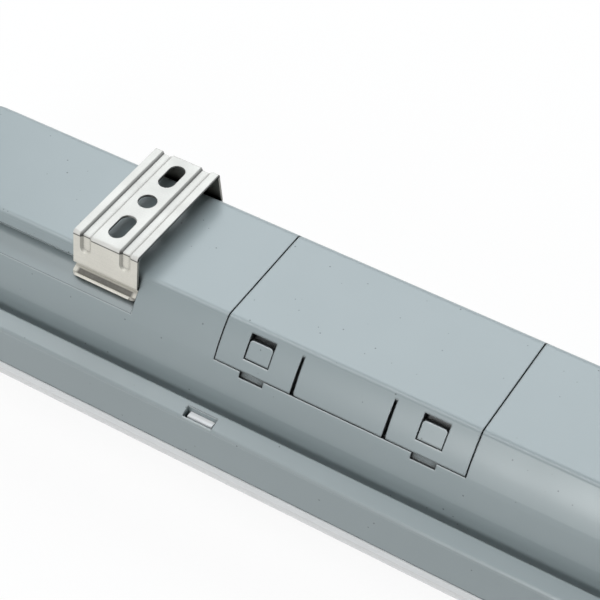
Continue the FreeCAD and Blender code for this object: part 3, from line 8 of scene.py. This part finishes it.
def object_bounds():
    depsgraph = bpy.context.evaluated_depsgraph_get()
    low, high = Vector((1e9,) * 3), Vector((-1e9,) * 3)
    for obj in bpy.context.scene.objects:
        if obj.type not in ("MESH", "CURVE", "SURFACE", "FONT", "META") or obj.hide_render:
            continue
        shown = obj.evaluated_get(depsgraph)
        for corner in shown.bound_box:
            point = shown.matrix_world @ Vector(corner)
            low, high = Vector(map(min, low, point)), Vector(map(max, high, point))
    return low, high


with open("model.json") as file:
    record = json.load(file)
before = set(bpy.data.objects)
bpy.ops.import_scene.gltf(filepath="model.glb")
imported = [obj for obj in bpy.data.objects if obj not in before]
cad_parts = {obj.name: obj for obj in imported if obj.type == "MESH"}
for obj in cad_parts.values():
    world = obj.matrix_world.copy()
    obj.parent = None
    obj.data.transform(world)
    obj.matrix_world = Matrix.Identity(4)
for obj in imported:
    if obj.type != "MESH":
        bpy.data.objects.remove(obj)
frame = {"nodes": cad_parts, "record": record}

cadLow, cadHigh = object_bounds()
nodes = frame["nodes"]
print("frame loaded:", len(nodes), "nodes")

mm = 0.001


class Wire:  # a value, colour or vector on its way through a finish
    def __init__(self, finish, socket):
        self.finish = finish
        self.socket = socket

    def maths(self, operation, *values):
        return self.finish.maths(operation, *values)

    def __add__(self, other):
        return self.maths("ADD", self, other)

    def __radd__(self, other):
        return self.maths("ADD", other, self)

    def __sub__(self, other):
        return self.maths("SUBTRACT", self, other)

    def __rsub__(self, other):
        return self.maths("SUBTRACT", other, self)

    def __mul__(self, other):
        return self.maths("MULTIPLY", self, other)

    def __rmul__(self, other):
        return self.maths("MULTIPLY", other, self)

    def __lt__(self, other):
        return self.maths("LESS_THAN", self, other)

    def __gt__(self, other):
        return self.maths("GREATER_THAN", self, other)

    def part(self, name):  # another output of the same node
        return Wire(self.finish, self.socket.node.outputs[name])


class Finish:  # a material or a world in the making
    def __init__(self, name, made=bpy.data.materials, ending="ShaderNodeOutputMaterial"):
        self.material = made.new(name)
        self.material.use_nodes = True
        self.tree = self.material.node_tree
        self.tree.nodes.clear()
        self.output = self.tree.nodes.new(ending)

    def add(self, kind, settings=None, inputs=None, output=0):
        node = self.tree.nodes.new(kind)
        for key, value in (settings or {}).items():
            setattr(node, key, value)
        pairs = inputs.items() if isinstance(inputs, dict) else enumerate(inputs or ())
        for key, value in pairs:
            if isinstance(value, Wire):
                self.tree.links.new(value.socket, node.inputs[key])
            elif value is not None:
                node.inputs[key].default_value = value
        return Wire(self, node.outputs[output])

    def maths(self, operation, *values):
        return self.add("ShaderNodeMath", {"operation": operation}, values)

    def place(self):
        return self.add("ShaderNodeTexCoord", output="Object")

    def axes(self, vector, output="X"):
        return self.add("ShaderNodeSeparateXYZ", None, [vector], output)

    def stretched(self, scale):
        return self.add("ShaderNodeMapping", None, {"Vector": self.place(), "Scale": scale})

    def noise(self, scale, detail=2.0, vector=None):
        return self.add("ShaderNodeTexNoise", None,
                        {"Vector": vector or self.place(), "Scale": scale, "Detail": detail})

    def between(self, value, low, high, toLow=0.0, toHigh=1.0, way="LINEAR"):
        return self.add("ShaderNodeMapRange", {"interpolation_type": way},
                        {"Value": value, "From Min": low, "From Max": high,
                         "To Min": toLow, "To Max": toHigh})

    def blend(self, amount, first, second, way="MIX"):  # 6, 7 and 2 are its colour sockets
        return self.add("ShaderNodeMix", {"data_type": "RGBA", "blend_type": way},
                        {0: amount, 6: first, 7: second}, 2)

    def bump(self, height, depth, normal=None):
        return self.add("ShaderNodeBump", None,
                        {"Height": height, "Distance": depth, "Strength": 1.0,
                         "Normal": normal})

    def softEdge(self, radius):  # lets sharp edges catch the light
        return self.add("ShaderNodeBevel", {"samples": 4}, {"Radius": radius})

    def facing(self):
        return self.add("ShaderNodeNewGeometry", output="Normal")

    def openness(self, reach):  # near 0 deep in a gap, 1 in the open
        return self.add("ShaderNodeAmbientOcclusion", {"samples": 6}, {"Distance": reach},
                        output="AO")

    def edgeTurn(self, rounded):  # over 0 where a sharp edge turns up to the light
        turn = self.add("ShaderNodeVectorMath", {"operation": "SUBTRACT"},
                        [rounded, self.facing()], "Vector")
        return self.axes(turn, "Z")

    def grey(self, value):
        return self.add("ShaderNodeCombineColor", None, [value] * 3)

    def close(self, shader):
        self.tree.links.new(shader.socket, self.output.inputs["Surface"])
        return self.material

    def surface(self, **values):
        return self.close(self.add("ShaderNodeBsdfPrincipled", None, {
            key.replace("_", " "): value for key, value in values.items()}))


def colour(red, green, blue):  # screen values from 0 to 255
    shares = [value / 255 for value in (red, green, blue)]
    linear = [c / 12.92 if c <= 0.04045 else ((c + 0.055) / 1.055) ** 2.4 for c in shares]
    return (*linear, 1.0)


def shade(tone, factor):
    return (tone[0] * factor, tone[1] * factor, tone[2] * factor, 1.0)


# Grey moulded plastic: satin, with faint cloudiness, flow waves and fine dark specks, painted
# highlights on edges that turn up, and painted shade in seams and gaps
greyPlastic = {
    "tone": colour(157, 168, 171),
    "roughness": 0.31,
    "ior": 1.55,
    "cloudSize": 22,
    "cloudDepth": 0.09,
    "wear": 0.06,
    "waveSize": 30,
    "waveDepth": 0.1 * mm,
    "grainSize": 3600,
    "grainDepth": 0.006 * mm,
    "speckSize": 520,
    "speckShare": 0.07,
    "speckRadius": (0.05, 0.14),  # the least, and what chance adds
    "speckTone": 0.2,
    "speckStrength": 0.6,
    "edge": 0.5 * mm,
    "edgeReach": 0.9 * mm,
    "edgeHighlightTone": colour(214, 220, 221),
    "edgeHighlightShare": 0.9,
    "edgeUp": (0.03, 0.2),  # turns at which the painted highlight starts and is full
    "edgeDown": (-0.2, -0.05),  # turns at which the painted seam shade is full and ends
    "seamShade": 0.2,
    "gapReach": 3 * mm,
    "gapShut": (0.5, 0.82),  # openness of a shut gap, and of the open plastic
    "gapDarkness": (0.95, 0.15),  # painted shade in the upper gaps, and in the open valley
    "valleyTop": -31 * mm,
    "valleyFade": 4 * mm,
}


def mouldedPlastic(name, look):
    finish = Finish(name)
    tone = look["tone"]
    cloud = finish.noise(look["cloudSize"], 3.0)
    lightness = 1 + (cloud - 0.5) * look["cloudDepth"]

    # Painted highlight on the edges that turn up, and painted shade on the edges that turn down
    # into a seam
    turn = finish.edgeTurn(finish.softEdge(look["edgeReach"]))
    downEdgeShade = finish.between(turn, *look["edgeDown"], look["seamShade"], 1)
    highlightedEdges = finish.blend(finish.between(turn, *look["edgeUp"]) * look["edgeHighlightShare"], tone,
                          look["edgeHighlightTone"])

    # Painted shade deep in gaps, windows and slits, weaker in the valley below valleyTop
    closed = finish.between(finish.openness(look["gapReach"]), *look["gapShut"], 1, 0,
                            "SMOOTHSTEP")
    height = finish.axes(finish.place(), "Z")
    upper, valley = look["gapDarkness"]
    darkness = finish.between(height, look["valleyTop"] - look["valleyFade"],
                              look["valleyTop"], valley, upper)
    gapShade = 1 - closed * darkness
    cloudedWithPaintedLight = finish.blend(1.0, highlightedEdges, finish.grey(lightness * gapShade * downEdgeShade), "MULTIPLY")

    cells = finish.add("ShaderNodeTexVoronoi", None,
                       {"Vector": finish.place(), "Scale": look["speckSize"]})
    pick = finish.add("ShaderNodeSeparateColor", None, [cells.part("Color")])
    least, added = look["speckRadius"]
    speck = (pick < look["speckShare"]) * (cells < (pick.part("Green") * added + least))
    specked = finish.blend(speck * look["speckStrength"], cloudedWithPaintedLight,
                           shade(tone, look["speckTone"]))

    waved = finish.bump(finish.noise(look["waveSize"], 1.5), look["waveDepth"],
                        finish.softEdge(look["edge"]))
    normal = finish.bump(finish.noise(look["grainSize"], 1.0), look["grainDepth"], waved)
    worn = look["roughness"] + (finish.noise(look["cloudSize"] * 3) - 0.5) * look["wear"]
    return finish.surface(Base_Color=specked, Roughness=worn, Normal=normal, IOR=look["ior"])


# Bright sheet steel: rolled one way, with soft patches and rounded edges, and painted shade in
# its gaps and creases
brightSteel = {
    "tone": colour(218, 217, 213),
    "roughness": 0.6,
    "metal": 0.7,
    "streakLength": (60, 1500, 1500),
    "streakRoughness": 0.03,
    "streakDepth": 0.0015 * mm,
    "patchSize": 70,
    "patchRoughness": (-0.03, 0.05),
    "patchTone": 0.94,
    "grainSize": 1900,
    "grain": 0.12,
    "edge": 0.3 * mm,
    "gapReach": 3 * mm,
    "gapShut": (0.1, 0.9),
    "gapDarkness": 0.85,
    "creaseReach": 1.2 * mm,
    "creaseShut": (0.6, 0.95),
    "creaseDarkness": 0.85,
    "marksShadeAndLight": False,
}

# Marks on a clip: a toothed trough along its lip and a line under its bend, both darkened with
# painted shade, plus painted shade on its bead walls and inner leg faces and painted light on
# its legs
clipSteel = {
    **brightSteel,
    "marksShadeAndLight": True,
    "trough": (26.4 * mm, 28.3 * mm),  # distances from the clip's middle plane
    "troughHalf": 11.6 * mm,
    "troughBlur": (0.2 * mm, 0.5 * mm),  # across and at its ends
    "troughShadeTone": 0.2,
    "teeth": 900,
    "toothDepth": 0.08 * mm,
    "lipHeight": 3.2 * mm,
    "lipTone": 0.85,
    "fold": 1.5 * mm,
    "foldWidth": 0.4 * mm,
    "foldShadeTone": 0.06,
    "beadDepth": 0.8 * mm,
    "wallTurn": (0.15, 0.6),
    "wallShadeTone": (0.2, 0.95),  # painted shade left on a bead's left wall, at its foot and at its top
    "legWallShadeTone": 0.65,
    "insideTurn": (-0.8, -0.4),
    "insideShadeTone": 0.35,  # painted shade left on the inner faces of the legs
    # painted light: the legs lighter and warmer than the top
    "legPaintedLight": (1.12, 1.1, 1.05, 1.0),
}


def pressMarksShadeAndLight(finish, look, tone, paintedShadeAndGrain, grain, normal):
    corners = nodes["mounting_clip_left"].bound_box
    middle = (min(c[0] for c in corners) + max(c[0] for c in corners)) / 2
    lowest = min(c[2] for c in corners)
    highest = max(c[2] for c in corners)
    place = finish.axes(finish.place())
    along = finish.maths("ABSOLUTE", finish.maths("ABSOLUTE", place) - abs(middle))
    out = finish.maths("ABSOLUTE", place.part("Y"))
    height = place.part("Z")

    blur, endBlur = look["troughBlur"]
    lipTop = lowest + look["lipHeight"]
    onLip = finish.between(height, lipTop - blur, lipTop, 1, 0)
    low, high = look["trough"]
    half = look["troughHalf"]
    trough = (finish.between(out, low - blur, low + blur)
              * finish.between(out, high - blur, high + blur, 1, 0)
              * finish.between(along, half - endBlur, half + endBlur, 1, 0) * onLip)
    teeth = finish.noise(look["teeth"])
    # Painted shade in the trough under the leg, with toothed bumps
    tone = finish.blend(trough * (1 - look["troughShadeTone"] * teeth), tone,
                        shade(look["tone"], look["troughShadeTone"]))

    # Painted shade: a dark line under the bend
    foldAway = finish.maths("ABSOLUTE", height - (highest - look["fold"]))
    fold = finish.between(foldAway, 0, look["foldWidth"], 1, 0, "SMOOTHSTEP")
    tone = finish.blend(fold * (1 - look["foldShadeTone"]), tone,
                        shade(look["tone"], look["foldShadeTone"]))

    # Painted shade on the walls of the beads on the top and on the legs, and on the legs' inner
    # faces
    bead = look["beadDepth"]
    onTop = finish.between(height, highest - 2 * bead, highest - 1.5 * bead)
    foot, top = look["wallShadeTone"]
    wallShadeTone = (onTop * finish.between(height, highest - bead, highest, foot, top)
                + (1 - onTop) * look["legWallShadeTone"])
    facing = finish.axes(finish.facing())
    wallShade = 1 - finish.between(facing, *look["wallTurn"]) * (1 - wallShadeTone)
    inward = facing.part("Y") * finish.maths("SIGN", place.part("Y"))
    insideShade = finish.between(inward, *look["insideTurn"], look["insideShadeTone"], 1)
    # The lip is kept out of the painted shade
    paintedShadeAndGrain = finish.maths("MAXIMUM", paintedShadeAndGrain * wallShade * insideShade, onLip * look["lipTone"] * grain)
    # Painted light: the legs lighter and warmer than the top
    tone = finish.blend(1 - onTop, tone, finish.blend(1.0, tone, look["legPaintedLight"], "MULTIPLY"))
    return tone, paintedShadeAndGrain, finish.bump(teeth * trough, look["toothDepth"], normal)


def sheetSteel(name, look):
    finish = Finish(name)
    tone = look["tone"]
    streak = finish.noise(1.0, 3.0, finish.stretched(look["streakLength"]))
    patch = finish.noise(look["patchSize"], 3.0)
    least, most = look["patchRoughness"]
    roughness = (finish.between(streak, 0.3, 0.7, -look["streakRoughness"],
                                look["streakRoughness"])
                 + finish.between(patch, 0.3, 0.7, look["roughness"] + least,
                                  look["roughness"] + most))
    patched = finish.blend(finish.between(patch, 0.35, 0.7), tone,
                           shade(tone, look["patchTone"]))
    grain = (1 + (finish.noise(look["grainSize"], 1.0) - 0.5) * look["grain"]
             + (streak - 0.5) * look["grain"])
    normal = finish.bump(streak, look["streakDepth"], finish.softEdge(look["edge"]))
    # Painted shade in gaps and creases, multiplied with the grain
    gapShade = finish.between(finish.openness(look["gapReach"]), *look["gapShut"],
                         1 - look["gapDarkness"], 1)
    creaseShade = finish.between(finish.openness(look["creaseReach"]), *look["creaseShut"],
                            1 - look["creaseDarkness"], 1)
    paintedShadeAndGrain = gapShade * creaseShade * grain
    if look["marksShadeAndLight"]:
        patched, paintedShadeAndGrain, normal = pressMarksShadeAndLight(finish, look, patched, paintedShadeAndGrain, grain, normal)
    shaded = finish.blend(1.0, patched, finish.grey(paintedShadeAndGrain), "MULTIPLY")
    return finish.surface(Base_Color=shaded, Metallic=look["metal"], Roughness=roughness,
                          Normal=normal)


# Opal diffuser: bright and nearly smooth
opal = {
    "tone": colour(250, 251, 252),
    "roughness": 0.24,
    "ior": 1.58,
    "cloudSize": 40,
    "cloudTone": 0.975,
    "waveSize": 60,
    "waveDepth": 0.04 * mm,
}


def opalPlastic(name, look):
    finish = Finish(name)
    cloud = finish.noise(look["cloudSize"])
    tone = finish.blend(finish.between(cloud, 0.35, 0.7), look["tone"],
                        shade(look["tone"], look["cloudTone"]))
    normal = finish.bump(finish.noise(look["waveSize"], 1.0), look["waveDepth"])
    return finish.surface(Base_Color=tone, Roughness=look["roughness"], Normal=normal,
                          IOR=look["ior"])


# Paint, nylon and insulation inside the light
innerPlastic = {
    "cloudSize": 90,
    "cloudTone": 0.93,
    "wearSize": 240,
    "wear": (-0.04, 0.06),
    "grainSize": 2600,
    "grainDepth": 0.01 * mm,
}


def plainPlastic(name, tone, roughness, look=innerPlastic):
    finish = Finish(name)
    cloud = finish.noise(look["cloudSize"], 3.0)
    mixed = finish.blend(finish.between(cloud, 0.35, 0.7), tone, shade(tone, look["cloudTone"]))
    least, most = look["wear"]
    worn = finish.between(finish.noise(look["wearSize"], 3.0), 0.3, 0.7,
                          roughness + least, roughness + most)
    normal = finish.bump(finish.noise(look["grainSize"], 1.0), look["grainDepth"])
    return finish.surface(Base_Color=mixed, Roughness=worn, Normal=normal)


# Foam and rubber of the seals
sealSkin = {
    "poreSize": 1500,
    "poreDepth": 0.05 * mm,
    "poreTones": (0.7, 1.5),
    "roughness": 0.78,
}


def softRubber(name, tone, look=sealSkin):
    finish = Finish(name)
    pores = finish.noise(look["poreSize"], 3.0)
    dark, light = look["poreTones"]
    mixed = finish.blend(finish.between(pores, 0.4, 0.65), shade(tone, dark),
                         shade(tone, light))
    normal = finish.bump(pores, look["poreDepth"])
    return finish.surface(Base_Color=mixed, Roughness=look["roughness"], Normal=normal)


zinc = {**brightSteel, "tone": colour(205, 206, 204), "roughness": 0.33}
brass = {**brightSteel, "tone": colour(222, 186, 110), "roughness": 0.3}
glandPlastic = {**greyPlastic, "tone": colour(150, 158, 162), "roughness": 0.42}
driverPlastic = {**innerPlastic, "grainDepth": 0.02 * mm}

finishes = {
    "housing_plastic": mouldedPlastic("greyHousing", greyPlastic),
    "diffuser_plastic": opalPlastic("opalDiffuser", opal),
    "clip_steel": sheetSteel("clipSteel", clipSteel),
    "seal_foam": softRubber("foamSeal", colour(60, 60, 62)),
    "tray_steel": plainPlastic("trayPaint", colour(236, 236, 233), 0.35),
    "zinc_steel": sheetSteel("zincSteel", zinc),
    "board_white": plainPlastic("boardLacquer", colour(238, 239, 236), 0.4),
    "package_yellow": plainPlastic("phosphor", colour(236, 212, 96), 0.3),
    "connector_white": plainPlastic("naturalNylon", colour(228, 224, 210), 0.45),
    "driver_plastic": plainPlastic("driverCase", colour(226, 226, 224), 0.5, driverPlastic),
    "terminal_plastic": plainPlastic("terminalNylon", colour(214, 215, 211), 0.42),
    "button_plastic": plainPlastic("buttonOrange", colour(222, 104, 30), 0.38),
    "contact_brass": sheetSteel("contactBrass", brass),
    "lead_brown": plainPlastic("leadBrown", colour(92, 58, 36), 0.4),
    "lead_blue": plainPlastic("leadBlue", colour(52, 92, 168), 0.4),
    "lead_green": plainPlastic("leadGreen", colour(92, 148, 50), 0.4),
    "lead_red": plainPlastic("leadRed", colour(178, 40, 34), 0.4),
    "lead_black": plainPlastic("leadBlack", colour(34, 34, 35), 0.4),
    "gland_plastic": mouldedPlastic("glandNylon", glandPlastic),
    "seal_rubber": softRubber("blackRubber", colour(46, 46, 47)),
}

slotOf = {entry["node"]: entry["material_slot"] for entry in frame["record"]["subparts"]}
for name, piece in nodes.items():
    material = finishes[slotOf[name]]
    if not piece.material_slots:
        piece.data.materials.append(material)
    for slot in piece.material_slots:
        slot.material = material
print("finishes on", len(nodes), "nodes")


# Floor and world
stageLook = {
    "floorDrop": 0.5 * mm,
    "floorSize": 30.0,
    "floorTone": (0.52, 0.52, 0.52, 1.0),
    "shadowShare": 0.08,
    "worldTone": (0.95, 0.98, 1.0, 1.0),
    "worldStrength": 0.1,
    "backdropTop": (0.25, 0.55),
    "backdropSide": (0.2, 0.6),
}
white = (1.0, 1.0, 1.0, 1.0)


# White to the camera and to gloss, grey to the light it throws back, and it keeps shadows
def buildFloor(look):
    mesh = bpy.data.meshes.new("floor")
    half = look["floorSize"] / 2
    z = cadLow.z - look["floorDrop"]
    corners = [(-half, -half, z), (half, -half, z), (half, half, z), (-half, half, z)]
    mesh.from_pydata(corners, [], [(0, 1, 2, 3)])
    floor = bpy.data.objects.new("floor", mesh)
    bpy.context.scene.collection.objects.link(floor)
    paper = Finish("floorPaper")
    rays = paper.add("ShaderNodeLightPath")
    seen = paper.maths("MAXIMUM", rays, rays.part("Is Glossy Ray"))
    tone = paper.blend(seen, look["floorTone"], white)
    matt = paper.add("ShaderNodeBsdfDiffuse", None, {"Color": tone})
    glow = paper.add("ShaderNodeEmission", None, {"Color": white, "Strength": 1.0})
    share = seen * (1 - look["shadowShare"])
    mesh.materials.append(paper.close(
        paper.add("ShaderNodeMixShader", None, [share, matt, glow])))


# White where the camera looks; gloss sees the white up to the backdrop's top and side edges
def buildWorld(look):
    sky = Finish("studio", bpy.data.worlds, "ShaderNodeOutputWorld")
    rays = sky.add("ShaderNodeLightPath")
    towards = sky.axes(sky.add("ShaderNodeTexCoord", output="Generated"))
    backdrop = (sky.between(towards.part("Z"), *look["backdropTop"], 1.0, 0.0)
                * sky.between(towards, *look["backdropSide"], 1.0, 0.0))
    shown = sky.maths("MAXIMUM", rays, rays.part("Is Glossy Ray") * backdrop)
    fill = sky.add("ShaderNodeBackground", None,
                   {"Color": look["worldTone"], "Strength": look["worldStrength"]})
    seen = sky.add("ShaderNodeBackground", None, {"Color": white, "Strength": 1.0})
    bpy.context.scene.world = sky.close(
        sky.add("ShaderNodeMixShader", None, [shown, fill, seen]))


buildFloor(stageLook)
buildWorld(stageLook)
print("floor and world ready")

# Soft lamps: behind and over the back, along the slope, and low in front
lamps = {
    "key": {"place": (-0.35, 1.0, 1.25), "size": (1.7, 1.1), "power": 19.5,
            "tint": (0.92, 0.97, 1.0)},
    "strip": {"place": (-0.45, -0.5, 1.5), "size": (1.9, 0.3), "power": 10.5,
              "tint": (1.0, 1.0, 1.0)},
    "front": {"place": (-0.3, -1.82, 0.85), "size": (0.45, 0.7), "power": 12.5,
              "tint": (0.97, 1.0, 1.0)},
}
lampAim = Vector((-0.14, 0.0, 0.0))


def buildLamp(name, look):
    data = bpy.data.lights.new(name, "AREA")
    data.shape = "RECTANGLE"
    data.size, data.size_y = look["size"]
    data.energy = look["power"]
    data.color = look["tint"]
    lamp = bpy.data.objects.new(name, data)
    lamp.location = look["place"]
    towards = lampAim - lamp.location
    lamp.rotation_euler = towards.to_track_quat("-Z", "Y").to_euler()
    bpy.context.scene.collection.objects.link(lamp)


for name, look in lamps.items():
    buildLamp(name, look)
print("lamps ready:", len(lamps))

# Camera, close over the back of the light
cameraLook = {
    "target": (-144.52 * mm, -4.22 * mm, -10 * mm),
    "distance": 0.65,
    "azimuth": 30.99,
    "elevation": 45.97,
    "roll": -0.84,
    "focalPixels": 1907.4,
    "framePixels": 600,
    "sensor": 36.0,
    "clipStart": 0.02,
    "clipEnd": 60,
}


def buildCamera(look):
    data = bpy.data.cameras.new("photoCamera")
    data.sensor_fit = "HORIZONTAL"
    data.sensor_width = look["sensor"]
    data.lens = look["sensor"] * look["focalPixels"] / look["framePixels"]
    data.clip_start = look["clipStart"]
    data.clip_end = look["clipEnd"]
    camera = bpy.data.objects.new("photoCamera", data)
    azimuth = math.radians(look["azimuth"])
    elevation = math.radians(look["elevation"])
    back = Vector((math.sin(azimuth) * math.cos(elevation),
                   -math.cos(azimuth) * math.cos(elevation), math.sin(elevation)))
    camera.location = Vector(look["target"]) + back * look["distance"]
    turn = (-back).to_track_quat("-Z", "Y")
    camera.rotation_mode = "QUATERNION"
    camera.rotation_quaternion = turn @ Quaternion((0, 0, 1), -math.radians(look["roll"]))
    bpy.context.scene.collection.objects.link(camera)
    bpy.context.scene.camera = camera


buildCamera(cameraLook)
bpy.context.scene.view_settings.view_transform = "Standard"
print("camera ready")
